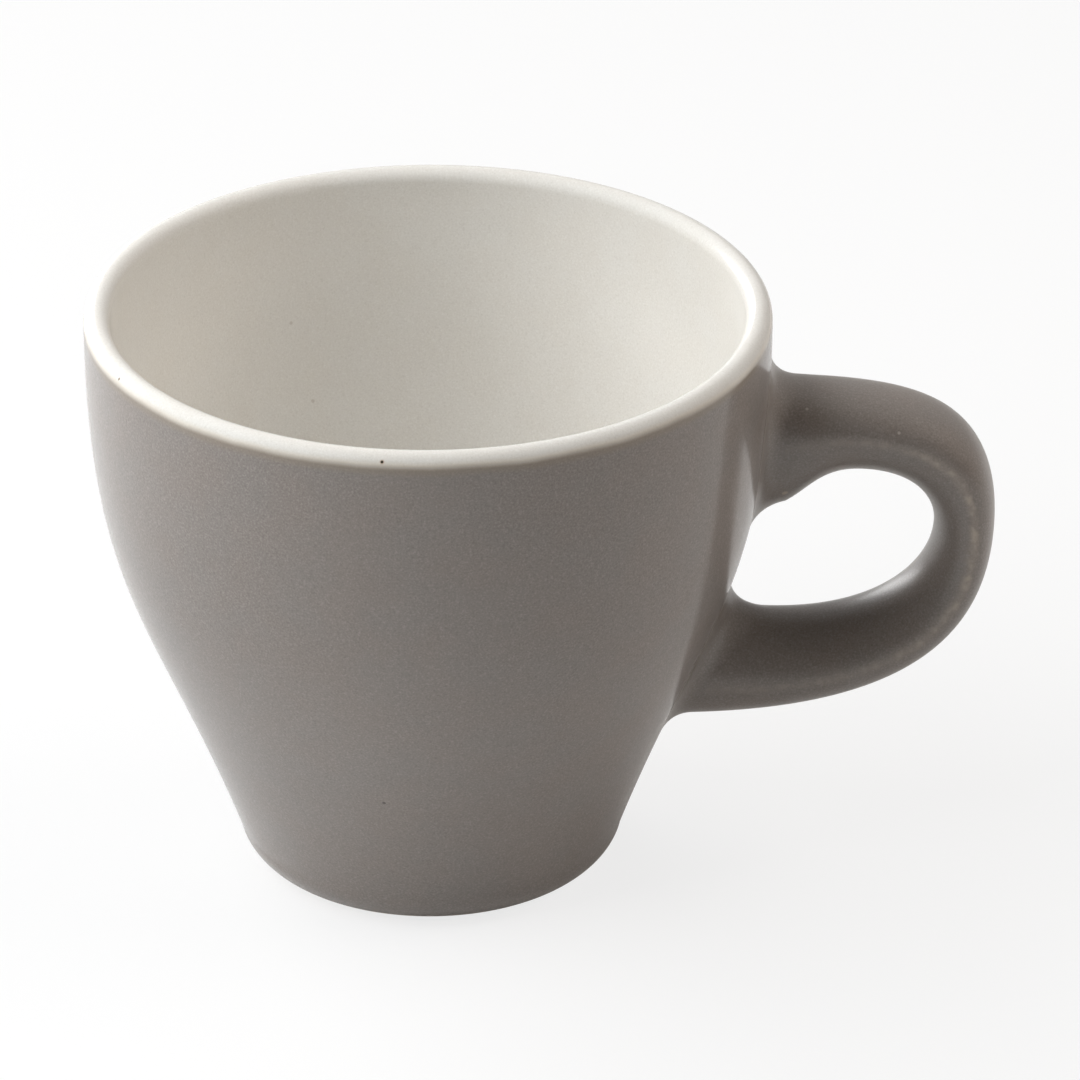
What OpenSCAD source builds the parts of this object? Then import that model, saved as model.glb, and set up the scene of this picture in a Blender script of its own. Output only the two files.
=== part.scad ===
// Cappuccino cup: a stoneware bowl on a low foot ring, with a looped handle on one side.
// Bowl and handle are shaped apart and luted together with slip, which leaves a fillet round each seat.
// White glaze lines the bowl and its lip. Grey glaze coats the outside and the handle.
// Millimetres. The origin is on the bowl's axis at the table, +Z is up and the handle points to +X.

/* [Bowl] */
// Overall height
cup_h = 73.7; // [66:0.1:82]
// Diameter across the rim
rim_d = 83; // [76:0.5:90]
// Thickness of the rounded lip
lip_t = 3.2; // [2.6:0.1:4.2]
// Thickness of the wall at its bottom
wall_t = 4.6; // [3.8:0.1:5.4]
// Diameter at the bottom of the wall
waist_d = 47.3; // [43:0.1:51]
// Height of the bottom of the wall above the table
waist_z = 4.9; // [4:0.1:5.8]
// Lean of the wall at its bottom, in degrees from upright
wall_lean = 19.4; // [16:0.1:23]
// Length over which the wall holds that lean
wall_pull = 33; // [28:0.5:37]
// Length over which the wall comes upright below the lip
rim_pull = 34.4; // [28:0.1:39]

/* [Foot] */
// Outside diameter of the ring that the cup stands on
foot_d = 35; // [32:0.5:38]
// Width of that ring
foot_w = 3; // [2:0.1:4.5]
// Depth of the recess inside the ring
foot_recess = 1.8; // [1.2:0.1:2.4]
// Lean of the base corner where it meets the wall, in degrees from upright
base_lean = 8; // [4:0.1:13]
// Height of the bare clay below the grey glaze
bare_foot_h = 1.2; // [0.8:0.1:1.8]

/* [Inside] */
// Height of the inside floor above the table
floor_z = 6.8; // [6:0.1:8.5]
// Height over which the inside wall rounds into the floor
floor_round = 14; // [11:0.5:17]
// Diameter of the flat middle of the floor
floor_flat_d = 13; // [8:0.5:18]

/* [Glaze] */
// Thickness of the glaze coats
glaze_t = 0.5; // [0.3:0.05:0.7]
// Height of the top of the lip above the line where white meets grey
colour_line_drop = 1.25; // [0.9:0.05:1.5]

/* [Handle] */
// Reach of the handle beyond the rim
handle_reach = 27.5; // [25:0.1:31]
// Width of the handle
handle_w = 13.8; // [11.5:0.1:16]
// Thickness of the handle at its outermost point
crown_t = 7.3; // [6:0.1:9]
// Height of the handle's outermost point above half the cup's height
crown_rise = 8.15; // [5:0.05:11]
// Depth of the finger hole's outermost point below the handle's
hole_crown_drop = 2; // [0:0.1:4]
// Height of the top of the finger hole above the handle's outermost point
hole_top_rise = 6.1; // [4:0.1:8.5]
// Distance of the top of the finger hole from the rim's outline
hole_top_out = 10.2; // [8:0.1:12.5]

/* [Handle roots] */
// Height of the upper arm's top, at its root inside the wall, above the handle's outermost point
upper_top_rise = 20; // [17:0.1:23]
// Height of the upper arm's underside, at its root, above the handle's outermost point
upper_under_rise = 1.9; // [0:0.1:4]
// Depth of the lower arm's top, at its root, below the handle's outermost point
lower_top_drop = 11.6; // [9.5:0.1:14]
// Depth of the lower arm's underside, at its root, below the handle's outermost point
lower_under_drop = 26.3; // [24:0.1:28]
// Droop of the upper arm's top at its root, in degrees
upper_top_droop = 37; // [30:0.5:42]
// Droop of the upper arm's underside at its root, in degrees
upper_under_droop = 21; // [16:0.5:26]
// Droop of the lower arm's top at its root, in degrees
lower_top_droop = 17; // [12:0.5:22]
// Droop of the lower arm's underside at its root, in degrees
lower_under_droop = 2.6; // [0:0.1:6]

/* [Handle curve] */
// Length over which the upper arm's top keeps its droop
upper_top_pull = 10; // [8:0.1:13]
// Length over which the upper arm's underside keeps its droop
upper_under_pull = 11.7; // [9:0.1:14]
// Length over which the lower arm's top keeps its droop
lower_top_pull = 21.2; // [18:0.1:25]
// Length over which the lower arm's underside keeps its droop
lower_under_pull = 28.5; // [24:0.1:33]
// Length over which the crown stays upright above its outermost point
crown_up_pull = 20.8; // [17:0.1:24]
// Length over which the crown stays upright below its outermost point
crown_down_pull = 20.4; // [17:0.1:24]
// Length over which the hole's top stays level towards the bowl
hole_top_in_pull = 7.2; // [5:0.1:9]
// Length over which the hole's top stays level away from the bowl
hole_top_out_pull = 6.6; // [5:0.1:8.5]
// Length over which the hole stays upright above its outermost point
hole_up_pull = 4.2; // [3:0.1:6]
// Length over which the hole stays upright below its outermost point
hole_down_pull = 8.8; // [7:0.1:11]

/* [Joints] */
// Size of the slip fillet on top of the upper arm's seat
upper_top_fillet = 4; // [2.8:0.1:4.8]
// Size of the slip fillet at the sides of the upper arm's seat
upper_side_fillet = 2.4; // [1.8:0.1:3]
// Size of the slip fillet under the upper arm's seat, in the finger hole
upper_under_fillet = 4; // [2.8:0.1:4.4]
// Size of the slip fillet on top of the lower arm's seat, in the finger hole
lower_top_fillet = 7.5; // [5.5:0.1:7.9]
// Size of the slip fillet at the sides of the lower arm's seat
lower_side_fillet = 2.6; // [1.8:0.1:3.2]
// Size of the slip fillet under the lower arm's seat
lower_under_fillet = 3.4; // [2.4:0.1:4.4]

/* [Hidden] */

// Colours
clay = [0.80, 0.76, 0.70];
slip = [0.72, 0.67, 0.60];
white_glaze = [0.89, 0.88, 0.86];
grey_glaze = [0.48, 0.45, 0.43];

// Depth to which the handle's curves start inside the wall
root_sink = 5;

// Share of the way to the corner at which a rounding's two handles stand
round_share = 0.55;
// Share of the loop, from the upper root, at which the crown lies
crown_share = 0.5;
// Share of the loop at which the top of the finger hole lies
hole_top_share = 0.2;

// Share of half the handle's thickness by which its widest line lies towards the loop's outside
ridge_share = 0.19;

// Counts of steps along the curves, of sides round the handle and of halvings in a search
wall_steps = 28;
base_steps = 8;
lip_steps = 12;
shoulder_steps = 2;
floor_steps = 10;
loop_steps = 30;
fillet_steps = 4;
seat_steps = 3;
sides = 24;
halvings = 22;
$fn = 96;

// Signs of the two ends of the handle: the outside of the loop is the top at the upper seat
upper = 1;
lower = -1;

// Curves: points are [radius, height]
function mix(a, b, t) = a + (b - a) * t;
function steps(count) = [for (i = [0 : count]) i / count];
function cubic(p, t) =
    pow(1 - t, 3) * p[0] + 3 * pow(1 - t, 2) * t * p[1] + 3 * (1 - t) * t * t * p[2] + pow(t, 3) * p[3];
function slope(p, t) =
    pow(1 - t, 2) * (p[1] - p[0]) + 2 * (1 - t) * t * (p[2] - p[1]) + t * t * (p[3] - p[2]);
function outward(p, t) =
    let (s = slope(p, t))
    [s.y, -s.x] / norm(s);
function inset(p, t, depth) = cubic(p, t) - depth * outward(p, t);
// Parameter at which a rising curve, set in by a depth, reaches a height
function t_at_height(p, z, depth = 0, lo = 0, hi = 1, left = halvings) =
    let (mid = (lo + hi) / 2)
    left == 0 ? mid
    : inset(p, mid, depth).y < z ? t_at_height(p, z, depth, mid, hi, left - 1)
    : t_at_height(p, z, depth, lo, mid, left - 1);

// Outline of the bowl
rim_r = rim_d / 2;
lip_r = lip_t / 2;
lip_z = cup_h - lip_r;
foot_r = foot_d / 2;
recess_r = foot_r - foot_w;
waist = [waist_d / 2, waist_z];
base_corner = [waist.x - waist_z * tan(base_lean), 0];
foot_edge = [foot_r, 0];
base_curve = [
    foot_edge,
    mix(foot_edge, base_corner, round_share),
    mix(waist, base_corner, round_share),
    waist
];
wall_curve = [
    waist,
    waist + wall_pull * [sin(wall_lean), cos(wall_lean)],
    [rim_r, lip_z - rim_pull],
    [rim_r, lip_z]
];
bare_t = t_at_height(base_curve, bare_foot_h);
colour_angle = asin((lip_r - colour_line_drop) / lip_r);

// Runs of the section at a depth under the glaze's outside
function base_run(depth, from) =
    [for (s = steps(base_steps)) if (s < 1) inset(base_curve, mix(from, 1, s), depth)];
function wall_run(depth) = [for (t = steps(wall_steps)) if (t < 1) inset(wall_curve, t, depth)];
function lip_arc(depth, from, to, count) =
    [for (s = steps(count))
        let (angle = mix(from, to, s))
        [rim_r - lip_r, lip_z] + (lip_r - depth) * [cos(angle), sin(angle)]];
function lip_run(depth, from) = lip_arc(depth, from, 180, lip_steps);
function outer_run(depth) =
    concat(base_run(depth, bare_t), wall_run(depth), lip_arc(depth, 0, colour_angle, shoulder_steps));

// Inside of the bowl, set out from its own glazed face by a depth
function lining(t, depth) = inset(wall_curve, t, mix(wall_t, lip_t, t) - depth);
function t_at_lining(z, depth, lo = 0, hi = 1, left = halvings) =
    let (mid = (lo + hi) / 2)
    left == 0 ? mid
    : lining(mid, depth).y < z ? t_at_lining(z, depth, mid, hi, left - 1)
    : t_at_lining(z, depth, lo, mid, left - 1);
function lining_run(depth) =
    let (low = t_at_lining(floor_z + floor_round, depth))
    [for (s = steps(wall_steps)) if (s > 0) lining(mix(1, low, s), depth)];
function floor_run(depth) =
    let (
        low = t_at_lining(floor_z + floor_round, depth),
        start = lining(low, depth),
        level = floor_z - depth,
        run = slope(wall_curve, low),
        corner = start - run * (start.y - level) / run.y,
        end = [floor_flat_d / 2, level],
        curve = [start, mix(start, corner, round_share), mix(end, corner, round_share), end]
    )
    concat([for (s = steps(floor_steps)) if (s > 0) cubic(curve, s)], [[0, level]]);
function inside_run(depth) = concat(lining_run(depth), floor_run(depth));
function backwards(list) = [for (i = [len(list) - 1 : -1 : 0]) list[i]];

// Rounded recess under the foot, from the axis to the ring
function recess_run() =
    concat(
        [[0, foot_recess]],
        [for (s = steps(base_steps))
            [recess_r - foot_recess, 0] + foot_recess * [sin(90 * s), cos(90 * s)]]
    );

// Side outlines of the handle
function wall_r(z, depth) = inset(wall_curve, t_at_height(wall_curve, z, depth), depth).x;
function root(z) = [wall_r(z, 0) - root_sink, z];
function drooped(p, droop, pull) = p + pull * [cos(droop), -sin(droop)];
crown = [rim_r + handle_reach, cup_h / 2 + crown_rise];
hole_crown = crown - [crown_t, hole_crown_drop];
hole_top = [rim_r + hole_top_out, crown.y + hole_top_rise];
upper_top = root(crown.y + upper_top_rise);
upper_under = root(crown.y + upper_under_rise);
lower_top = root(crown.y - lower_top_drop);
lower_under = root(crown.y - lower_under_drop);
back_upper = [
    upper_top,
    drooped(upper_top, upper_top_droop, upper_top_pull),
    crown + [0, crown_up_pull],
    crown
];
back_lower = [
    crown,
    crown - [0, crown_down_pull],
    drooped(lower_under, lower_under_droop, lower_under_pull),
    lower_under
];
hole_rise = [
    upper_under,
    drooped(upper_under, upper_under_droop, upper_under_pull),
    hole_top - [hole_top_in_pull, 0],
    hole_top
];
hole_fall = [
    hole_top,
    hole_top + [hole_top_out_pull, 0],
    hole_crown + [0, hole_up_pull],
    hole_crown
];
hole_lower = [
    hole_crown,
    hole_crown - [0, hole_down_pull],
    drooped(lower_top, lower_top_droop, lower_top_pull),
    lower_top
];
function part_way(t, from, to) = (t - from) / (to - from);
function back_at(t) =
    t < crown_share ? cubic(back_upper, part_way(t, 0, crown_share))
    : cubic(back_lower, part_way(t, crown_share, 1));
function hole_at(t) =
    t < hole_top_share ? cubic(hole_rise, part_way(t, 0, hole_top_share))
    : t < crown_share ? cubic(hole_fall, part_way(t, hole_top_share, crown_share))
    : cubic(hole_lower, part_way(t, crown_share, 1));

// Point on the handle: an oval spans the two outlines, widest a little outside their middle
// Its angle is 0 on the loop's outside and half a turn in the hole
function loop_at(angle, t, depth) =
    let (
        back = back_at(t),
        hole = hole_at(t),
        half = (back - hole) / 2,
        part = cos(angle) + ridge_share * pow(sin(angle), 2),
        p = hole + half + half / norm(half) * (norm(half) - depth) * part
    )
    [p.x, (handle_w / 2 - depth) * sin(angle), p.y];

// Point of the bowl's outside, at a depth, beside the axis by y and at a height
function on_bowl(y, z, depth) =
    let (r = wall_r(z, depth))
    [sqrt(r * r - y * y), y, z];
function clearance(p, depth) = norm([p.x, p.y]) - wall_r(p.z, depth);
// Parameter at which a line of the handle stands clear of the bowl by a gap
function t_at_gap(angle, depth, gap, inner, outer, left = halvings) =
    let (mid = (inner + outer) / 2)
    left == 0 ? mid
    : clearance(loop_at(angle, mid, depth), depth) < gap ? t_at_gap(angle, depth, gap, mid, outer, left - 1)
    : t_at_gap(angle, depth, gap, inner, mid, left - 1);

angles = [for (i = [0 : sides - 1]) 360 * i / sides];
function end_t(end) = end == upper ? 0 : 1;
// Sizes of each fillet on the loop's outside, at its sides and in the hole
upper_fillets = [upper_top_fillet, upper_side_fillet, upper_under_fillet];
lower_fillets = [lower_under_fillet, lower_side_fillet, lower_top_fillet];
// Size of a fillet at an angle round its seat
function fillet(end, angle) =
    let (sizes = end == upper ? upper_fillets : lower_fillets)
    mix(sizes[1], cos(angle) > 0 ? sizes[0] : sizes[2], pow(cos(angle), 2));
// Where each line of the handle meets the bowl, and where it leaves the fillet
function seat_t(end, depth) = [for (a = angles) t_at_gap(a, depth, 0, end_t(end), crown_share)];
function neck_t(end, depth) =
    [for (a = angles) t_at_gap(a, depth, fillet(end, a), end_t(end), crown_share)];
function ring(t, depth) = [for (i = [0 : sides - 1]) loop_at(angles[i], t[i], depth)];
function seat_ring(end, depth) = ring(seat_t(end, depth), depth);
// Outer edge of a fillet on the bowl, as [y, z], set off from the glazed seat
function fillet_edge(end) =
    let (seat = seat_ring(end, 0))
    [for (i = [0 : sides - 1])
        let (size = fillet(end, angles[i]))
        [seat[i].y + size * sin(angles[i]), seat[i].z + end * size * cos(angles[i])]];
function edge_ring(end, depth) = [for (p = fillet_edge(end)) on_bowl(p.x, p.y, depth)];

// Rings along a fillet, from the handle's neck to its edge on the bowl, hollow and tangent to both
function fillet_rings(end, depth) =
    let (
        neck = ring(neck_t(end, depth), depth),
        seat = seat_ring(end, depth),
        edge = edge_ring(end, depth)
    )
    [for (s = steps(fillet_steps))
        [for (i = [0 : sides - 1])
            pow(1 - s, 2) * neck[i] + 2 * s * (1 - s) * seat[i] + s * s * edge[i]]];
// Rings along the loop between its two necks
function loop_rings(depth) =
    let (
        first = neck_t(upper, depth),
        last = neck_t(lower, depth)
    )
    [for (s = steps(loop_steps))
        ring([for (i = [0 : sides - 1]) mix(first[i], last[i], s)], depth)];
// Rings that close a seat against the bowl, from its edge towards its middle
function seat_rings(end, depth) =
    let (
        seat = seat_ring(end, depth),
        middle = seat_middle(end, depth)
    )
    [for (k = [0 : seat_steps - 1])
        [for (p = seat) on_bowl(p.y * (1 - k / seat_steps), mix(p.z, middle.z, k / seat_steps), depth)]];
function seat_middle(end, depth) =
    let (seat = seat_ring(end, depth))
    on_bowl(0, (seat[0].z + seat[sides / 2].z) / 2, depth);
function skin_rings(depth) =
    concat(backwards(fillet_rings(upper, depth)), inner_of(loop_rings(depth)), fillet_rings(lower, depth));
function inner_of(list) = [for (i = [1 : len(list) - 2]) list[i]];
function flat_list(rings) = [for (r = rings) each r];

// Two triangles between rings k and m at side i, cut along the other diagonal where crossed is true
function patch(k, m, i, crossed) =
    let (
        j = (i + 1) % sides,
        a = k * sides + i,
        b = k * sides + j,
        c = m * sides + j,
        d = m * sides + i
    )
    crossed ? [[a, b, d], [b, c, d]] : [[a, b, c], [a, c, d]];

// Solid inside rings whose two ends close to a point each
module capped_loft(first, rings, last) {
    count = len(rings);
    tip = count * sides;
    faces = concat(
        [for (k = [0 : count - 2], i = [0 : sides - 1]) each patch(k, k + 1, i, false)],
        [for (i = [0 : sides - 1]) [tip, (i + 1) % sides, i]],
        [for (i = [0 : sides - 1]) [tip + 1, tip - sides + i, tip - sides + (i + 1) % sides]]
    );
    polyhedron(points = concat(flat_list(rings), [first, last]), faces = faces);
}

// Solid inside rings that run in a closed round, the later ones cut along the other diagonal
module ring_loft(rings, crossed_from) {
    count = len(rings);
    faces = [
        for (k = [0 : count - 1], i = [0 : sides - 1])
            each patch(k, (k + 1) % count, i, k >= crossed_from)
    ];
    polyhedron(points = flat_list(rings), faces = faces);
}

// Thrown bowl with its foot ring, bare clay where no glaze covers it
module bowl() {
    color(clay)
    rotate_extrude()
    polygon(concat(
        recess_run(),
        [for (s = steps(base_steps)) inset(base_curve, bare_t * s, 0)],
        base_run(glaze_t, bare_t),
        wall_run(glaze_t),
        lip_run(glaze_t, 0),
        inside_run(glaze_t)
    ));
}

// Pulled handle, both ends scribed to the bowl
module handle() {
    color(clay)
    capped_loft(
        seat_middle(upper, glaze_t),
        concat(
            backwards(seat_rings(upper, glaze_t)),
            loop_rings(glaze_t),
            seat_rings(lower, glaze_t)
        ),
        seat_middle(lower, glaze_t)
    );
}

// Slip fillet in the corner between the handle and the bowl
module slip_joint(end) {
    hollow = fillet_rings(end, glaze_t);
    rings = concat(end == upper ? backwards(hollow) : hollow, [seat_ring(end, glaze_t)]);
    color(slip)
    ring_loft(rings, len(hollow) - 1);
}

module upper_joint() {
    slip_joint(upper);
}

module lower_joint() {
    slip_joint(lower);
}

// White glaze on the floor, the inside wall and over the lip
module liner_glaze() {
    color(white_glaze)
    rotate_extrude()
    polygon(concat(
        lip_run(0, colour_angle),
        inside_run(0),
        backwards(inside_run(glaze_t)),
        backwards(lip_run(glaze_t, colour_angle))
    ));
}

// Part of the bowl's outside that the handle and its fillet cover
module joint_window(end) {
    rotate([90, 0, 90])
    linear_extrude(crown.x)
    polygon(fillet_edge(end));
}

// Grey glaze on the outside of the bowl, open where the handle is luted on
module outer_glaze() {
    color(grey_glaze)
    difference() {
        rotate_extrude()
        polygon(concat(outer_run(0), backwards(outer_run(glaze_t))));
        joint_window(upper);
        joint_window(lower);
    }
}

// Grey glaze over the handle and both fillets
module handle_glaze() {
    outside = skin_rings(0);
    color(grey_glaze)
    ring_loft(concat(outside, backwards(skin_rings(glaze_t))), len(outside));
}

bowl();
handle();
upper_joint();
lower_joint();
liner_glaze();
outer_glaze();
handle_glaze();
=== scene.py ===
import bpy
import numpy as np
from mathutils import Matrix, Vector


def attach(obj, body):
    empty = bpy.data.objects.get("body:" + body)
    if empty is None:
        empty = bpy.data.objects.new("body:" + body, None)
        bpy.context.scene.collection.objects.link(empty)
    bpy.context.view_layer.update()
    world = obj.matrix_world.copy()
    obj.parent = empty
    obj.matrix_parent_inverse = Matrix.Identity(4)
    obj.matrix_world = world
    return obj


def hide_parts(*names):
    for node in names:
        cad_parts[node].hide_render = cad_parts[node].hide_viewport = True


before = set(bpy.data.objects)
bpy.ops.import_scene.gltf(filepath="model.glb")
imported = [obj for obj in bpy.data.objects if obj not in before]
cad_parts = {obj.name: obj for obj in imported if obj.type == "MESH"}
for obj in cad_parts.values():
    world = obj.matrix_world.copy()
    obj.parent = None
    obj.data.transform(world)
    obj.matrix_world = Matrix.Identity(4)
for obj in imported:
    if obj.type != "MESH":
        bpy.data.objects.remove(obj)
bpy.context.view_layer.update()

MM_PER_M = 1000

# Sizes of the cup in millimetres and degrees, as in the part's source, with radii for its diameters
CUP_H = 73.7
RIM_R = 41.5
LIP_T = 3.2
WALL_T = 4.6
WAIST = np.array([23.65, 4.9])
WALL_LEAN = 19.4
WALL_PULL = 33.0
RIM_PULL = 34.4
FOOT_R = 17.5
FOOT_W = 3.0
FOOT_RECESS = 1.8
BASE_LEAN = 8.0
BARE_FOOT_H = 1.2
FLOOR_Z = 6.8
FLOOR_ROUND = 14.0
FLOOR_FLAT_R = 6.5
GLAZE_T = 0.5
COLOUR_LINE_DROP = 1.25
HANDLE_REACH = 27.5
HANDLE_W = 13.8
CROWN_T = 7.3
CROWN_RISE = 8.15
HOLE_CROWN_DROP = 2.0
HOLE_TOP_RISE = 6.1
HOLE_TOP_OUT = 10.2
UPPER_TOP_RISE = 20.0
UPPER_UNDER_RISE = 1.9
LOWER_TOP_DROP = 11.6
LOWER_UNDER_DROP = 26.3
UPPER_TOP_DROOP = 37.0
UPPER_UNDER_DROOP = 21.0
LOWER_TOP_DROOP = 17.0
LOWER_UNDER_DROOP = 2.6
UPPER_TOP_PULL = 10.0
UPPER_UNDER_PULL = 11.7
LOWER_TOP_PULL = 21.2
LOWER_UNDER_PULL = 28.5
CROWN_UP_PULL = 20.8
CROWN_DOWN_PULL = 20.4
HOLE_TOP_IN_PULL = 7.2
HOLE_TOP_OUT_PULL = 6.6
HOLE_UP_PULL = 4.2
HOLE_DOWN_PULL = 8.8
ROOT_SINK = 5.0
ROUND_SHARE = 0.55
CROWN_SHARE = 0.5
HOLE_TOP_SHARE = 0.2
RIDGE_SHARE = 0.19
UPPER_TOP_FILLET = 4.0
UPPER_SIDE_FILLET = 2.4
UPPER_UNDER_FILLET = 4.0
LOWER_TOP_FILLET = 7.5
LOWER_SIDE_FILLET = 2.6
LOWER_UNDER_FILLET = 3.4

# Counts of sides, of steps along the curves that show, and of halvings in a search
BOWL_SIDES = 256
HANDLE_SIDES = 128
BASE_STEPS = 28
WALL_STEPS = 110
LINE_STEPS = 6
LIP_STEPS = 28
LINER_STEPS = 90
FLOOR_STEPS = 36
FLAT_STEPS = 5
FILLET_STEPS = 20
LOOP_STEPS = 200
BARE_STEPS = 10
RECESS_STEPS = 12
TABLE_STEPS = 4001
HALVINGS = 40

# Counts of steps along the hidden backs of the glaze coats and along the bowl under them
BACK_BASE_STEPS = 10
BACK_WALL_STEPS = 40
BACK_LINE_STEPS = 3
BACK_LIP_STEPS = 12
BACK_LINER_STEPS = 30
BACK_FLOOR_STEPS = 12
BACK_FILLET_STEPS = 6
BACK_LOOP_STEPS = 40
BOWL_BASE_STEPS = 12
BOWL_LIP_STEPS = 16

# Half widths of the pale glaze on the handle's widest line and at the foot, in millimetres
RIDGE_BREAK_W = 0.55
FOOT_BREAK_W = 0.6
# Fullness of the pale glaze at shares of the loop, from its upper end to its lower one
BREAK_AT_SHARES = [0.03, 0.25, 0.4, 0.5, 0.65, 0.95]
BREAK_SHARES = [0.15, 0.4, 0.85, 1.0, 0.7, 0.2]
# Mark of glaze that lies far from the colour line, in metres
FAR_FROM_LINE = -0.05
# Edges that turn by more than this, in degrees, are drawn sharp
SHARP_ANGLE = 50

LIP_R = LIP_T / 2
LIP_Z = CUP_H - LIP_R
LIP_MIDDLE = np.array([RIM_R - LIP_R, LIP_Z])
COLOUR_ANGLE = np.arcsin((LIP_R - COLOUR_LINE_DROP) / LIP_R)


# Curves of the bowl's section, as points of radius and height
def mix(a, b, t):
    """Point or number at share t of the way from a to b."""
    return a + (b - a) * t


def cubic(p, t):
    """Bezier curve of four points: each point weighted by its Bernstein polynomial in t."""
    t = np.asarray(t, float)[..., None]
    return (1 - t) ** 3 * p[0] + 3 * (1 - t) ** 2 * t * p[1] + 3 * (1 - t) * t ** 2 * p[2] + t ** 3 * p[3]


def slope(p, t):
    """Direction in which that curve runs: a third of its derivative by t."""
    t = np.asarray(t, float)[..., None]
    return (1 - t) ** 2 * (p[1] - p[0]) + 2 * (1 - t) * t * (p[2] - p[1]) + t ** 2 * (p[3] - p[2])


def inset(p, t, depth):
    """The curve set in by a depth at right angles to its run, towards the left of a rising curve."""
    run = slope(p, t)
    outward = np.stack([run[..., 1], -run[..., 0]], -1) / np.linalg.norm(run, axis=-1, keepdims=True)
    return cubic(p, t) - np.asarray(depth, float)[..., None] * outward


def lean(degrees):
    """Unit step up along a line that leans out from upright by an angle."""
    return np.array([np.sin(np.radians(degrees)), np.cos(np.radians(degrees))])


def droop(degrees):
    """Unit step out along a line that falls below level by an angle."""
    return np.array([np.cos(np.radians(degrees)), -np.sin(np.radians(degrees))])


WALL = np.array([
    WAIST,
    WAIST + WALL_PULL * lean(WALL_LEAN),
    [RIM_R, LIP_Z - RIM_PULL],
    [RIM_R, LIP_Z],
])
FOOT_EDGE = np.array([FOOT_R, 0.0])
BASE_CORNER = np.array([WAIST[0] - WAIST[1] * np.tan(np.radians(BASE_LEAN)), 0.0])
BASE = np.array([
    FOOT_EDGE,
    mix(FOOT_EDGE, BASE_CORNER, ROUND_SHARE),
    mix(WAIST, BASE_CORNER, ROUND_SHARE),
    WAIST,
])
FINE = np.linspace(0, 1, TABLE_STEPS)
BARE_T = np.interp(BARE_FOOT_H, cubic(BASE, FINE)[:, 1], FINE)


def wall_radius(z, depth):
    """Radius of the bowl's outside at a height, under a depth of glaze, read off the finely stepped curve of
    its wall."""
    table = inset(WALL, FINE, depth)
    return np.interp(z, table[:, 1], table[:, 0])


def lip_arc(depth, start, end, count):
    """Arc over the lip at a depth, between two angles from level, round the lip's middle."""
    angle = np.linspace(start, end, count)
    return LIP_MIDDLE + (LIP_R - depth) * np.stack([np.cos(angle), np.sin(angle)], -1)


def outside_run(depth, start, base_count, wall_count):
    """Base curve from a parameter on, then the wall curve up to the lip, both set in by a depth."""
    base = inset(BASE, np.linspace(start, 1, base_count)[:-1], depth)
    wall = inset(WALL, np.linspace(0, 1, wall_count), depth)
    return np.concatenate([base, wall])


def inside_run(depth, wall_count, floor_count):
    """Wall curve set in by the wall's tapering thickness, down to the floor's rounding, which is one Bezier
    curve that leaves the wall and meets the flat floor in line with both, then the floor's middle."""
    lining = inset(WALL, FINE, mix(WALL_T, LIP_T, FINE) - depth)
    low = np.interp(FLOOR_Z + FLOOR_ROUND, lining[:, 1], FINE)
    t = np.linspace(1, low, wall_count)[1:]
    wall = inset(WALL, t, mix(WALL_T, LIP_T, t) - depth)
    run = slope(WALL, low)
    level = FLOOR_Z - depth
    corner = wall[-1] - run * (wall[-1][1] - level) / run[1]
    flat = np.array([FLOOR_FLAT_R, level])
    rounding = np.array([wall[-1], mix(wall[-1], corner, ROUND_SHARE), mix(flat, corner, ROUND_SHARE), flat])
    floor = cubic(rounding, np.linspace(0, 1, floor_count)[1:])
    flat_run = np.stack([np.linspace(FLOOR_FLAT_R, 0, FLAT_STEPS), np.full(FLAT_STEPS, level)], -1)[1:]
    return np.concatenate([wall, floor, flat_run])


def along(points):
    """Length of a run of points from its first to each of them."""
    return np.concatenate([[0], np.cumsum(np.linalg.norm(np.diff(points, axis=0), axis=1))])


# Meshes
def piece(name, points, faces, finish, marks):
    """Mesh of points in millimetres, brought to metres, with smooth faces, sharp edges where the glaze ends
    and point marks."""
    mesh = bpy.data.meshes.new(name)
    mesh.from_pydata((points / MM_PER_M).tolist(), [], faces)
    mesh.polygons.foreach_set("use_smooth", np.ones(len(mesh.polygons), bool))
    mesh.set_sharp_from_angle(angle=np.radians(SHARP_ANGLE))
    for mark, values in marks.items():
        attribute = mesh.attributes.new(mark, "FLOAT", "POINT")
        attribute.data.foreach_set("value", np.asarray(values, np.float32).ravel())
    mesh.materials.append(finish)
    obj = bpy.data.objects.new(name, mesh)
    bpy.context.scene.collection.objects.link(obj)
    return obj


def grid_faces(rows, columns, closed):
    """Quads of a grid whose columns run in a round, and whose rows do too where closed."""
    k = np.arange(rows if closed else rows - 1)[:, None]
    i = np.arange(columns)[None, :]
    m = (k + 1) % rows
    j = (i + 1) % columns
    return np.stack([k * columns + i, k * columns + j, m * columns + j, m * columns + i], -1).reshape(-1, 4)


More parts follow.
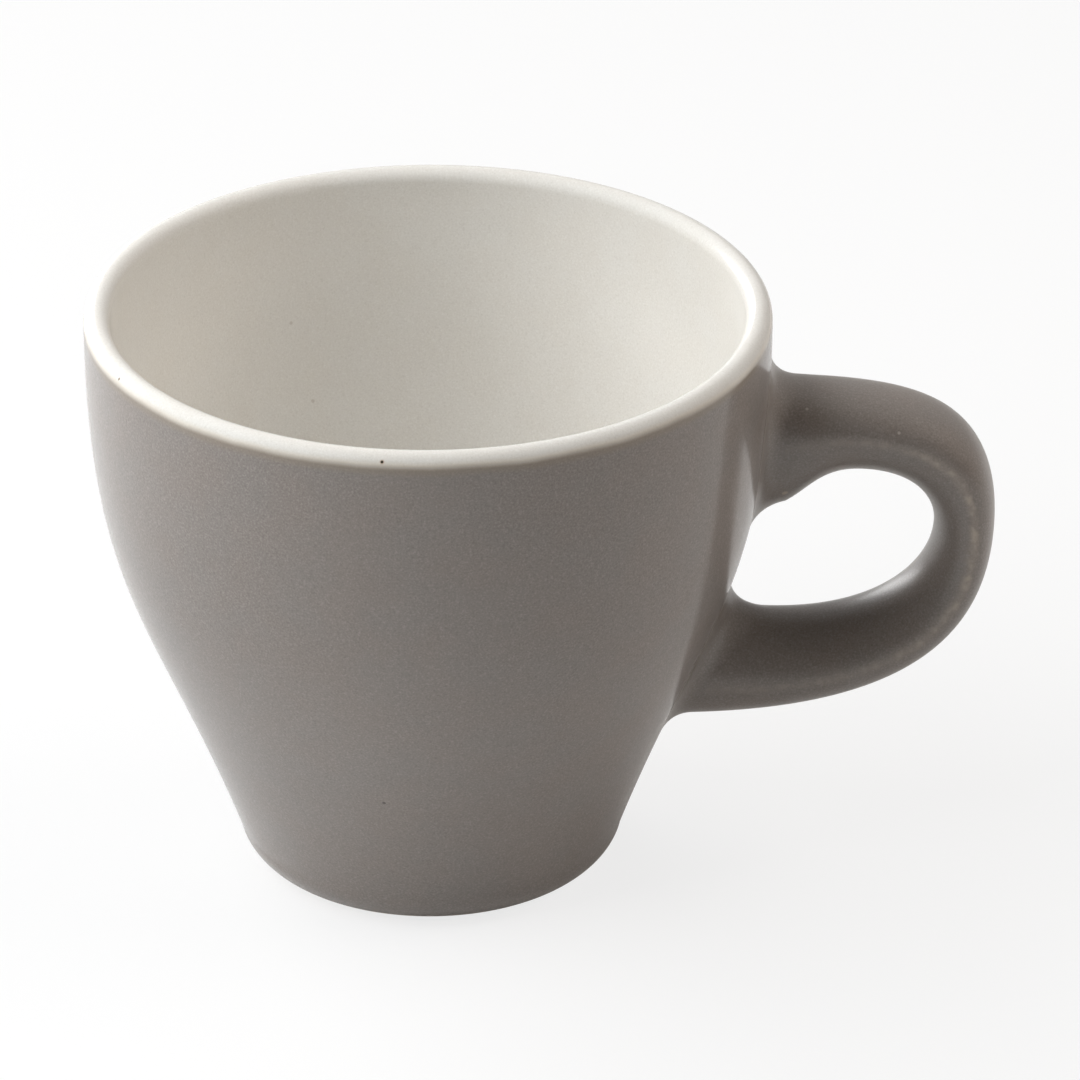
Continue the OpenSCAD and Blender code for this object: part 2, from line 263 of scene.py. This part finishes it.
def turned(name, section, finish, marks):
    """Section of radius and height carried round the upright axis: x is the radius times the cosine of the
    turn, y the radius times its sine. A section that starts and ends on the axis gets a fan at each pole,
    and any other is a closed round."""
    poles = section[0][0] == 0
    rings = slice(1, -1) if poles else slice(None)
    body = section[rings]
    turn = 2 * np.pi * np.arange(BOWL_SIDES) / BOWL_SIDES
    radius = body[:, 0][:, None]
    height = np.broadcast_to(body[:, 1][:, None], (len(body), BOWL_SIDES))
    points = np.stack([radius * np.cos(turn), radius * np.sin(turn), height], -1).reshape(-1, 3)
    faces = grid_faces(len(body), BOWL_SIDES, not poles).tolist()
    spread = {mark: np.repeat(values[rings], BOWL_SIDES) for mark, values in marks.items()}
    if poles:
        tips = np.array([[0, 0, section[0][1]], [0, 0, section[-1][1]]])
        first = len(points)
        i = np.arange(BOWL_SIDES)
        j = (i + 1) % BOWL_SIDES
        last_ring = first - BOWL_SIDES
        points = np.concatenate([points, tips])
        faces += np.stack([np.full(BOWL_SIDES, first), j, i], -1).tolist()
        faces += np.stack([np.full(BOWL_SIDES, first + 1), last_ring + i, last_ring + j], -1).tolist()
        spread = {mark: np.append(values, marks[mark][[0, -1]]) for mark, values in spread.items()}
    return piece(name, points, faces, finish, spread)


# Outlines of the handle in its middle plane
def root(z):
    """Point inside the wall from which an outline of the handle starts."""
    return np.array([wall_radius(z, 0) - ROOT_SINK, z])


CROWN = np.array([RIM_R + HANDLE_REACH, CUP_H / 2 + CROWN_RISE])
HOLE_CROWN = CROWN - [CROWN_T, HOLE_CROWN_DROP]
HOLE_TOP = np.array([RIM_R + HOLE_TOP_OUT, CROWN[1] + HOLE_TOP_RISE])
UPPER_TOP = root(CROWN[1] + UPPER_TOP_RISE)
UPPER_UNDER = root(CROWN[1] + UPPER_UNDER_RISE)
LOWER_TOP = root(CROWN[1] - LOWER_TOP_DROP)
LOWER_UNDER = root(CROWN[1] - LOWER_UNDER_DROP)
BACK_UPPER = np.array([
    UPPER_TOP,
    UPPER_TOP + UPPER_TOP_PULL * droop(UPPER_TOP_DROOP),
    CROWN + [0, CROWN_UP_PULL],
    CROWN,
])
BACK_LOWER = np.array([
    CROWN,
    CROWN - [0, CROWN_DOWN_PULL],
    LOWER_UNDER + LOWER_UNDER_PULL * droop(LOWER_UNDER_DROOP),
    LOWER_UNDER,
])
HOLE_RISE = np.array([
    UPPER_UNDER,
    UPPER_UNDER + UPPER_UNDER_PULL * droop(UPPER_UNDER_DROOP),
    HOLE_TOP - [HOLE_TOP_IN_PULL, 0],
    HOLE_TOP,
])
HOLE_FALL = np.array([
    HOLE_TOP,
    HOLE_TOP + [HOLE_TOP_OUT_PULL, 0],
    HOLE_CROWN + [0, HOLE_UP_PULL],
    HOLE_CROWN,
])
HOLE_LOWER = np.array([
    HOLE_CROWN,
    HOLE_CROWN - [0, HOLE_DOWN_PULL],
    LOWER_TOP + LOWER_TOP_PULL * droop(LOWER_TOP_DROOP),
    LOWER_TOP,
])


def stretch(curve, t, start, end):
    """Curve whose own parameter runs from 0 to 1 between two shares of the loop."""
    return cubic(curve, np.clip((t - start) / (end - start), 0, 1))


def back_at(t):
    """Outside of the loop at a share of its length: one curve down to the crown and one from it."""
    lower = (t >= CROWN_SHARE)[..., None]
    return np.where(lower, stretch(BACK_LOWER, t, CROWN_SHARE, 1), stretch(BACK_UPPER, t, 0, CROWN_SHARE))


def hole_at(t):
    """Edge of the finger hole at a share of the loop: up to its top, down to its crown and back to the
    wall."""
    upper = np.where(
        (t >= HOLE_TOP_SHARE)[..., None],
        stretch(HOLE_FALL, t, HOLE_TOP_SHARE, CROWN_SHARE),
        stretch(HOLE_RISE, t, 0, HOLE_TOP_SHARE),
    )
    return np.where((t >= CROWN_SHARE)[..., None], stretch(HOLE_LOWER, t, CROWN_SHARE, 1), upper)


def loop_at(angle, t, depth):
    """Point of the handle: an oval spans its two outlines in the middle plane and its width across it. Along
    the outlines' middle it goes by the angle's cosine plus a share of the sine squared, which sets its widest
    line a little outwards. The angle is 0 on the outside of the loop and half a turn in the finger hole."""
    back = back_at(t)
    hole = hole_at(t)
    half = (back - hole) / 2
    size = np.linalg.norm(half, axis=-1, keepdims=True)
    part = np.cos(angle) + RIDGE_SHARE * np.sin(angle) ** 2
    p = hole + half + half * (1 - depth / size) * part[..., None]
    return np.stack([p[..., 0], (HANDLE_W / 2 - depth) * np.sin(angle), p[..., 1]], -1)


def t_at_gap(angle, depth, gap, inner):
    """Share of the loop at which each line of the handle stands clear of the bowl by a gap, by halving the
    stretch between an end of the loop and its crown."""
    near = np.full(angle.shape, float(inner))
    far = np.full(angle.shape, CROWN_SHARE)
    for _ in range(HALVINGS):
        middle = (near + far) / 2
        p = loop_at(angle, middle, depth)
        short = np.hypot(p[:, 0], p[:, 1]) - wall_radius(p[:, 2], depth) < gap
        near = np.where(short, middle, near)
        far = np.where(short, far, middle)
    return (near + far) / 2


def fillet_size(angle, outside, side, in_hole):
    """Size of a fillet at an angle round its seat: from its size at the sides it passes, by the cosine
    squared, to its size on the loop's outside or in the hole."""
    return mix(side, np.where(np.cos(angle) > 0, outside, in_hole), np.cos(angle) ** 2)


def fillet_rings(angle, depth, size, inner, upward, count):
    """Rings from the handle's neck to the bowl: sideways and in height they follow the curve of the neck,
    the seat and the edge, and their stand-off from the wall falls as the square of what is left to run."""
    neck = loop_at(angle, t_at_gap(angle, depth, size, inner), depth)
    seat = loop_at(angle, t_at_gap(angle, depth, 0, inner), depth)
    glazed = loop_at(angle, t_at_gap(angle, 0, 0, inner), 0)
    edge_y = glazed[:, 1] + size * np.sin(angle)
    edge_z = glazed[:, 2] + upward * size * np.cos(angle)
    s = np.linspace(0, 1, count)[:, None]
    y = (1 - s) ** 2 * neck[:, 1] + 2 * s * (1 - s) * seat[:, 1] + s ** 2 * edge_y
    z = (1 - s) ** 2 * neck[:, 2] + 2 * s * (1 - s) * seat[:, 2] + s ** 2 * edge_z
    reach = wall_radius(z, depth) + (1 - s) ** 2 * size
    return np.stack([np.sqrt(reach ** 2 - y ** 2), y, z], -1)


# Angles round the handle, in the sense that turns its faces outwards
AROUND = -2 * np.pi * np.arange(HANDLE_SIDES) / HANDLE_SIDES
UPPER_SIZE = fillet_size(AROUND, UPPER_TOP_FILLET, UPPER_SIDE_FILLET, UPPER_UNDER_FILLET)
LOWER_SIZE = fillet_size(AROUND, LOWER_UNDER_FILLET, LOWER_SIDE_FILLET, LOWER_TOP_FILLET)


def loop_shares(depth, count):
    """Grid of shares of the loop: each line of the handle runs evenly from its upper neck to its lower
    one."""
    first = t_at_gap(AROUND, depth, UPPER_SIZE, 0)
    last = t_at_gap(AROUND, depth, LOWER_SIZE, 1)
    return mix(first, last, np.linspace(0, 1, count)[1:-1, None])


def handle_skin(depth, fillet_count, loop_count):
    """Rings of the handle's surface at a depth, from the upper fillet's edge round the loop to the lower
    fillet's."""
    t = loop_shares(depth, loop_count)
    loop = loop_at(np.broadcast_to(AROUND, t.shape), t, depth)
    upper = fillet_rings(AROUND, depth, UPPER_SIZE, 0, 1, fillet_count)
    lower = fillet_rings(AROUND, depth, LOWER_SIZE, 1, -1, fillet_count)
    return np.concatenate([upper[::-1], loop, lower])


def ridge_break(fillet_count, loop_count):
    """Share of pale glaze on the same rings: a bell over the distance from the handle's widest line, fullest
    at the crown and none on the fillets."""
    t = loop_shares(0, loop_count)
    half = np.linalg.norm(back_at(t) - hole_at(t), axis=-1) / 2
    off = half * (np.cos(AROUND) - RIDGE_SHARE * np.cos(AROUND) ** 2)
    fullness = np.interp(t, BREAK_AT_SHARES, BREAK_SHARES)
    plain = np.zeros((fillet_count, HANDLE_SIDES))
    return np.concatenate([plain, fullness * np.exp(-(off / RIDGE_BREAK_W) ** 2), plain])


# Shader values and nodes
class Term:
    """A shader socket that can be reckoned with: each operator adds a Math node."""

    def __init__(self, finish, socket):
        self.finish = finish
        self.socket = socket

    def reckon(self, operation, a, b):
        return self.finish.node("ShaderNodeMath", {"operation": operation}, {0: a, 1: b})

    def __add__(self, other):
        return self.reckon("ADD", self, other)

    def __radd__(self, other):
        return self.reckon("ADD", other, self)

    def __sub__(self, other):
        return self.reckon("SUBTRACT", self, other)

    def __rsub__(self, other):
        return self.reckon("SUBTRACT", other, self)

    def __mul__(self, other):
        return self.reckon("MULTIPLY", self, other)

    def __rmul__(self, other):
        return self.reckon("MULTIPLY", other, self)

    def __truediv__(self, other):
        return self.reckon("DIVIDE", self, other)

    def __rtruediv__(self, other):
        return self.reckon("DIVIDE", other, self)


class Finish:
    """Node tree of one material, or of the world, built up node by node."""

    def __init__(self, owner):
        owner.use_nodes = True
        self.tree = owner.node_tree
        self.tree.nodes.clear()

    def node(self, kind, settings, sockets, output=0):
        """Adds a node of a kind, sets its settings, then fills its sockets with values or links them."""
        made = self.tree.nodes.new(kind)
        for key, value in settings.items():
            setattr(made, key, value)
        for key, value in sockets.items():
            if isinstance(value, Term):
                self.tree.links.new(value.socket, made.inputs[key])
            else:
                made.inputs[key].default_value = value
        return Term(self, made.outputs[output]) if len(made.outputs) else made


def blend(finish, share, a, b):
    """Colour at a share of the way from colour a to colour b."""
    settings = {"data_type": "RGBA", "clamp_factor": True}
    return finish.node("ShaderNodeMix", settings, {0: share, 6: a, 7: b}, 2)


def tone(r, g, b):
    """Colour written as linear red, green and blue."""
    return (r, g, b, 1.0)


def rise(finish, value, low, high):
    """Share that rises smoothly from 0 to 1 as a value goes from low to high."""
    settings = {"interpolation_type": "SMOOTHSTEP"}
    return finish.node("ShaderNodeMapRange", settings, {"Value": value, "From Min": low, "From Max": high})


def place(finish):
    """Object coordinates of the piece, in metres."""
    return finish.node("ShaderNodeTexCoord", {}, {}, "Object")


def noise(finish, where, per_metre, detail):
    """Cloudy value about 0.5, with so many lumps to the metre."""
    return finish.node("ShaderNodeTexNoise", {}, {"Vector": where, "Scale": per_metre, "Detail": detail})


def mark_of(finish, name):
    """Value of a point mark of the piece."""
    return finish.node("ShaderNodeAttribute", {"attribute_name": name}, {}, "Fac")


def specks(finish, where, per_metre, size, share):
    """Round specks: the nearness to the middle of a cell, in the share of the cells that a random number
    picks."""
    sockets = {"Vector": where, "Scale": per_metre}
    cell = {"voronoi_dimensions": "3D", "feature": "F1"}
    distance = finish.node("ShaderNodeTexVoronoi", cell, sockets, "Distance")
    colour = finish.node("ShaderNodeTexVoronoi", cell, sockets, "Color")
    pick = finish.node("ShaderNodeSeparateColor", {}, {0: colour}, 0)
    girth = finish.node("ShaderNodeSeparateColor", {}, {0: colour}, 1)
    spot = rise(finish, distance / (0.4 + girth), size, 0.45 * size)
    return spot * rise(finish, pick, share, share - 0.001)


def spotted(finish, where, colour, spots):
    """Colour with single round spots on it: each is full to half its radius, and none beyond it."""
    for middle, radius, strength, spot in spots:
        sockets = {0: where, 1: middle}
        distance = finish.node("ShaderNodeVectorMath", {"operation": "DISTANCE"}, sockets, "Value")
        colour = blend(finish, rise(finish, distance, radius, 0.5 * radius) * strength, colour, spot)
    return colour


def surface(finish, sockets):
    """Principled shader of a finish, joined to the material's output."""
    shader = finish.node("ShaderNodeBsdfPrincipled", {}, sockets)
    finish.node("ShaderNodeOutputMaterial", {}, {"Surface": shader})


# Finishes: colours of the glazes and of the clay
WARM_GREY = tone(0.226, 0.192, 0.17)
COOL_GREY = tone(0.22, 0.194, 0.176)
PALE_GRAIN = tone(0.31, 0.28, 0.255)
DARK_GRAIN = tone(0.165, 0.141, 0.123)
BROKEN_GREY = tone(0.44, 0.37, 0.305)
BROWN = tone(0.255, 0.205, 0.147)
TAN = tone(0.64, 0.56, 0.45)
WHITE = tone(0.776, 0.754, 0.712)
CREAM = tone(0.766, 0.738, 0.69)
BRIGHT_WHITE = tone(0.845, 0.828, 0.79)
DULL_WHITE = tone(0.685, 0.658, 0.61)
DARK_CLAY = tone(0.56, 0.49, 0.41)
PALE_CLAY = tone(0.63, 0.57, 0.49)
BROWN_CLAY = tone(0.40, 0.33, 0.26)
IRON = tone(0.10, 0.07, 0.05)

# Lumps to the metre in the speckle, the clouds, the waver of the colour line and the beads of pale glaze
SPECKLE_SCALE = 4200
CLOUD_SCALE = 130
WAVER_SCALE = 150
BEAD_SCALE = 800
# Lumps to the metre in the glaze's bump: its fine skin and its slow sway
SKIN_SCALE = 1500
SWAY_SCALE = 120
# Lumps to the metre in bare clay: its grain, its clouds and its dark specks
CLAY_GRAIN_SCALE = 1800
CLAY_CLOUD_SCALE = 140
CLAY_SPECK_SCALE = 420

# Distances past the colour line, in metres, between which each colour comes or goes, and the line's waver
BROWN_BEGINS = -0.0016
BROWN_FULL = -0.0004
TAN_FULL = -0.0001
TAN_ENDS = 0.0008
WHITE_BEGINS = -0.0006
WHITE_FULL = 0.00035
LINE_WAVER = 0.0004
# Shares of the grain, of the brown and the tan at the line, and of the pale glaze between its beads
GRAIN_SHARE = 0.8
BROWN_SHARE = 0.6
TAN_SHARE = 0.55
LEAST_BREAK_SHARE = 0.35

# Single spots in the glazes: the middle and the radius in metres, the strength and the colour
GREY_SPOTS = (
    ((-0.00668, -0.02936, 0.02148), 0.0003, 0.8, tone(0.05, 0.04, 0.033)),
    ((0.04302, -0.00469, 0.04955), 0.0005, 0.7, tone(0.5, 0.42, 0.34)),
    ((0.04553, -0.00482, 0.06091), 0.00025, 0.6, tone(0.5, 0.45, 0.4)),
    ((0.0566, -0.0063, 0.05814), 0.00025, 0.6, tone(0.5, 0.45, 0.4)),
)
WHITE_SPOTS = (
    ((-0.0069, -0.04072, 0.07287), 0.00034, 0.6, tone(0.45, 0.28, 0.14)),
    ((-0.0069, -0.04072, 0.07287), 0.00022, 1.0, tone(0.02, 0.014, 0.01)),
    ((-0.03731, -0.01747, 0.07303), 0.00024, 0.85, tone(0.22, 0.14, 0.08)),
    ((-0.01591, 0.03369, 0.05541), 0.0003, 0.35, tone(0.4, 0.33, 0.26)),
    ((-0.01331, 0.03258, 0.04509), 0.0003, 0.35, tone(0.4, 0.33, 0.26)),
)


def glaze_colours(finish, where, past_line, break_share):
    """Colour of the glazes: grey, mottled and finely speckled, paler where it breaks over an edge and browner
    just under the line where it meets the white; past the line white, with a tan edge and a few spots."""
    fine = noise(finish, where, SPECKLE_SCALE, 2)
    cloud = noise(finish, where, CLOUD_SCALE, 2)
    drift = noise(finish, where, WAVER_SCALE, 2)
    grey = blend(finish, rise(finish, cloud, 0.3, 0.7), WARM_GREY, COOL_GREY)
    grey = blend(finish, rise(finish, fine, 0.47, 0.8) * GRAIN_SHARE, grey, PALE_GRAIN)
    grey = blend(finish, rise(finish, fine, 0.5, 0.2) * GRAIN_SHARE, grey, DARK_GRAIN)
    beads = noise(finish, where, BEAD_SCALE, 2)
    worn = break_share * (LEAST_BREAK_SHARE + rise(finish, beads, 0.4, 0.65) * (1 - LEAST_BREAK_SHARE))
    grey = blend(finish, worn, grey, BROKEN_GREY)
    grey = spotted(finish, where, grey, GREY_SPOTS)
    line = past_line + (drift - 0.5) * LINE_WAVER
    brown = rise(finish, line, BROWN_BEGINS, BROWN_FULL) * BROWN_SHARE
    grey = blend(finish, brown, grey, BROWN)
    white = blend(finish, rise(finish, cloud, 0.3, 0.7), WHITE, CREAM)
    white = blend(finish, rise(finish, fine, 0.5, 0.8) * GRAIN_SHARE, white, BRIGHT_WHITE)
    white = blend(finish, rise(finish, fine, 0.5, 0.2) * GRAIN_SHARE, white, DULL_WHITE)
    white = blend(finish, rise(finish, line, TAN_ENDS, TAN_FULL) * TAN_SHARE, white, TAN)
    white = spotted(finish, where, white, WHITE_SPOTS)
    return blend(finish, rise(finish, line, WHITE_BEGINS, WHITE_FULL), grey, white)


def glaze(name, coat_roughness):
    """Fired glaze: satin under a clear coat, with a fine skin and a slow sway in its bump."""
    material = bpy.data.materials.new(name)
    finish = Finish(material)
    where = place(finish)
    past_line = mark_of(finish, "past_line")
    break_share = mark_of(finish, "break_share")
    colour = glaze_colours(finish, where, past_line, break_share)
    fine = noise(finish, where, SKIN_SCALE, 3)
    sway = noise(finish, where, SWAY_SCALE, 1)
    height = fine * 0.7 + sway * 0.6
    normal = finish.node("ShaderNodeBump", {}, {"Strength": 0.12, "Distance": 0.0004, "Height": height})
    surface(finish, {
        "Base Color": colour,
        "Roughness": 0.42 + fine * 0.16,
        "Normal": normal,
        "Specular IOR Level": 0.25,
        "Coat Weight": 0.8,
        "Coat Roughness": coat_roughness,
        "Coat IOR": 1.5,
    })
    return material


def fired_clay(name):
    """Bare fired stoneware: pale, matt and grainy, with a few dark grains."""
    material = bpy.data.materials.new(name)
    finish = Finish(material)
    where = place(finish)
    grain = noise(finish, where, CLAY_GRAIN_SCALE, 4)
    cloud = noise(finish, where, CLAY_CLOUD_SCALE, 2)
    colour = blend(finish, rise(finish, cloud, 0.35, 0.65), DARK_CLAY, PALE_CLAY)
    colour = blend(finish, rise(finish, grain, 0.55, 0.8) * 0.5, colour, BROWN_CLAY)
    colour = blend(finish, specks(finish, where, CLAY_SPECK_SCALE, 0.07, 0.2) * 0.7, colour, IRON)
    normal = finish.node("ShaderNodeBump", {}, {"Strength": 0.5, "Distance": 0.0002, "Height": grain})
    surface(finish, {"Base Color": colour, "Roughness": 0.72 + grain * 0.2, "Normal": normal})
    return material


grey_glaze = glaze("grey_glaze", coat_roughness=0.14)
handle_finish = glaze("grey_glaze_on_handle", coat_roughness=0.33)
white_glaze = glaze("white_glaze", coat_roughness=0.15)
stoneware = fired_clay("stoneware")
slip = fired_clay("slip")

# Bowl and its two glaze coats
outer = np.concatenate([
    outside_run(0, BARE_T, BASE_STEPS, WALL_STEPS),
    lip_arc(0, 0, COLOUR_ANGLE, LINE_STEPS)[1:],
])
outer_back = np.concatenate([
    outside_run(GLAZE_T, BARE_T, BACK_BASE_STEPS, BACK_WALL_STEPS),
    lip_arc(GLAZE_T, 0, COLOUR_ANGLE, BACK_LINE_STEPS)[1:],
])
outer_line = (along(outer) - along(outer)[-1]) / MM_PER_M
outer_back_line = (along(outer_back) - along(outer_back)[-1]) / MM_PER_M
outer_glaze_coat = turned(
    "outer_glaze_coat",
    np.concatenate([outer, outer_back[::-1]]),
    grey_glaze,
    {
        "past_line": np.concatenate([outer_line, outer_back_line[::-1]]),
        "break_share": np.append(np.exp(-(along(outer) / FOOT_BREAK_W) ** 2), np.zeros(len(outer_back))),
    },
)

liner = np.concatenate([
    lip_arc(0, COLOUR_ANGLE, np.pi, LIP_STEPS),
    inside_run(0, LINER_STEPS, FLOOR_STEPS),
])
liner_back = np.concatenate([
    lip_arc(GLAZE_T, COLOUR_ANGLE, np.pi, BACK_LIP_STEPS),
    inside_run(GLAZE_T, BACK_LINER_STEPS, BACK_FLOOR_STEPS),
])
liner_glaze_coat = turned(
    "liner_glaze_coat",
    np.concatenate([liner_back[::-1], liner]),
    white_glaze,
    {
        "past_line": np.concatenate([along(liner_back)[::-1], along(liner)]) / MM_PER_M,
        "break_share": np.zeros(len(liner) + len(liner_back)),
    },
)

bend = np.linspace(0, np.pi / 2, RECESS_STEPS)
recess = [FOOT_R - FOOT_W - FOOT_RECESS, 0] + FOOT_RECESS * np.stack([np.sin(bend), np.cos(bend)], -1)
stoneware_bowl = turned(
    "stoneware_bowl",
    np.concatenate([
        [[0, FOOT_RECESS]],
        recess,
        inset(BASE, np.linspace(0, BARE_T, BARE_STEPS), 0),
        outside_run(GLAZE_T, BARE_T, BOWL_BASE_STEPS, BACK_WALL_STEPS),
        lip_arc(GLAZE_T, 0, np.pi, BOWL_LIP_STEPS)[1:],
        inside_run(GLAZE_T, BACK_LINER_STEPS, BACK_FLOOR_STEPS),
    ]),
    stoneware,
    {},
)

# Glaze over the handle, a closed skin
skin = handle_skin(0, FILLET_STEPS, LOOP_STEPS)
skin_back = handle_skin(GLAZE_T, BACK_FILLET_STEPS, BACK_LOOP_STEPS)
handle_coat = piece(
    "handle_coat",
    np.concatenate([skin, skin_back[::-1]]).reshape(-1, 3),
    grid_faces(len(skin) + len(skin_back), HANDLE_SIDES, True).tolist(),
    handle_finish,
    {
        "past_line": np.full((len(skin) + len(skin_back)) * HANDLE_SIDES, FAR_FROM_LINE),
        "break_share": np.concatenate([
            ridge_break(FILLET_STEPS, LOOP_STEPS),
            np.zeros(skin_back.shape[:2]),
        ]),
    },
)

for obj, node, slot in (
    (outer_glaze_coat, "outer_glaze", "grey_glaze"),
    (liner_glaze_coat, "liner_glaze", "white_glaze"),
    (stoneware_bowl, "bowl", "stoneware"),
    (handle_coat, "handle_glaze", "grey_glaze"),
):
    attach(obj, "root")
    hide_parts(node)

for node, finish in (("handle", stoneware), ("upper_joint", slip), ("lower_joint", slip)):
    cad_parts[node].data.materials.clear()
    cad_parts[node].data.materials.append(finish)


# Stage: pale floor, soft lamps, white surroundings and the camera
MIDDLE = Vector((0, 0, 0.04))
PLAIN = (1.0, 1.0, 1.0)
COOL = (0.97, 0.99, 1.0)
WARM = (1.0, 0.935, 0.875)
# The floor's half width and how far it lies under the foot, in millimetres
FLOOR_REACH = 3000.0
FLOOR_GAP = 0.02
FLOOR_TONE = tone(0.84, 0.84, 0.84)
# Shares of plain white in the floor, as the camera sees it and as the glaze mirrors it
FLOOR_SEEN_SHARE = 0.78
FLOOR_MIRRORED_SHARE = 0.05
# Strength of the surroundings as the glaze mirrors them, and their share of it in front of the cup
MIRRORED_STRENGTH = 0.45
FRONT_SHARE = 0.12
# How far towards the rear a direction points where the surroundings begin to brighten and where they are full
FRONT_DEPTH = -0.2
REAR_DEPTH = 0.5
# The camera's sensor and lens in millimetres, and its near limit, place and aim in metres
SENSOR_W = 36.0
LENS = 305.4
NEAR_LIMIT = 0.05
CAMERA_AT = Vector((-0.03476, -0.99539, 0.54823))
CAMERA_AIM = Vector((0.01346, -0.00065, 0.04183))


def floor():
    """Wide pale square that the cup stands on, seen as near white and still showing its shadow. It lies a
    hair under the foot, so that the two faces never fall together."""
    corners = FLOOR_REACH * np.array([[-1, -1], [1, -1], [1, 1], [-1, 1]])
    corners = np.column_stack([corners, np.full(len(corners), -FLOOR_GAP)])
    material = bpy.data.materials.new("pale_floor")
    finish = Finish(material)
    seen = finish.node("ShaderNodeLightPath", {}, {}, "Is Camera Ray")
    mirrored = finish.node("ShaderNodeLightPath", {}, {}, "Is Glossy Ray")
    through = finish.node("ShaderNodeLightPath", {}, {}, "Is Transmission Ray")
    sheet = finish.node("ShaderNodeBsdfDiffuse", {}, {"Color": FLOOR_TONE})
    glow = finish.node("ShaderNodeEmission", {}, {"Strength": 1.0})
    share = seen * FLOOR_SEEN_SHARE + (mirrored + through) * FLOOR_MIRRORED_SHARE
    both = finish.node("ShaderNodeMixShader", {}, {0: share, 1: sheet, 2: glow})
    finish.node("ShaderNodeOutputMaterial", {}, {"Surface": both})
    obj = piece("floor", corners, [[0, 1, 2, 3]], material, {})


def lamp(name, place_at, width, height, power, colour, mirrored):
    """Oblong soft lamp that faces the cup's middle. It shows in the glaze only where mirrored is true."""
    light = bpy.data.lights.new(name, "AREA")
    light.shape = "RECTANGLE"
    light.size = width
    light.size_y = height
    light.energy = power
    light.color = colour
    obj = bpy.data.objects.new(name, light)
    obj.location = place_at
    obj.rotation_mode = "QUATERNION"
    obj.rotation_quaternion = (MIDDLE - Vector(place_at)).to_track_quat("-Z", "Y")
    obj.visible_glossy = mirrored
    obj.visible_camera = False
    bpy.context.scene.collection.objects.link(obj)


def surroundings():
    """White room, seen as full white. What the glaze mirrors of it is pale behind the cup and dim in front,
    and no other light comes from it."""
    world = bpy.data.worlds.new("studio")
    bpy.context.scene.world = world
    finish = Finish(world)
    seen = finish.node("ShaderNodeLightPath", {}, {}, "Is Camera Ray")
    mirrored = finish.node("ShaderNodeLightPath", {}, {}, "Is Glossy Ray")
    through = finish.node("ShaderNodeLightPath", {}, {}, "Is Transmission Ray")
    way = finish.node("ShaderNodeTexCoord", {}, {}, "Generated")
    depth = finish.node("ShaderNodeSeparateXYZ", {}, {"Vector": way}, "Y")
    backdrop = FRONT_SHARE + (1 - FRONT_SHARE) * rise(finish, depth, FRONT_DEPTH, REAR_DEPTH)
    strength = seen + (1 - seen) * backdrop * (mirrored + through) * MIRRORED_STRENGTH
    sky = finish.node("ShaderNodeBackground", {}, {"Color": tone(1, 1, 1), "Strength": strength})
    finish.node("ShaderNodeOutputWorld", {}, {"Surface": sky})


def camera():
    """Camera of the photo: its place and the point it looks at come from a fit of the cup's outlines."""
    data = bpy.data.cameras.new("camera")
    data.sensor_width = SENSOR_W
    data.lens = LENS
    data.clip_start = NEAR_LIMIT
    obj = bpy.data.objects.new("camera", data)
    obj.location = CAMERA_AT
    obj.rotation_mode = "QUATERNION"
    obj.rotation_quaternion = (CAMERA_AIM - CAMERA_AT).to_track_quat("-Z", "Y")
    bpy.context.scene.collection.objects.link(obj)
    bpy.context.scene.camera = obj


floor()
surroundings()
# Each lamp has its place, width and height in metres and its power in watts
lamp("left_softbox", (-0.357, -0.045, 0.387), 0.6, 0.5, 3.75, COOL, False)
lamp("low_rear_softbox", (-0.755, 1.349, 0.454), 1.0, 0.6, 10.5, PLAIN, True)
lamp("rear_softbox", (-0.428, 1.047, 1.171), 1.1, 1.1, 4.0, PLAIN, False)
lamp("right_softbox", (1.293, 0.05, 0.98), 1.2, 1.2, 13.8, WARM, False)
camera()
bpy.context.scene.view_settings.view_transform = "Standard"

bpy.context.view_layer.update()
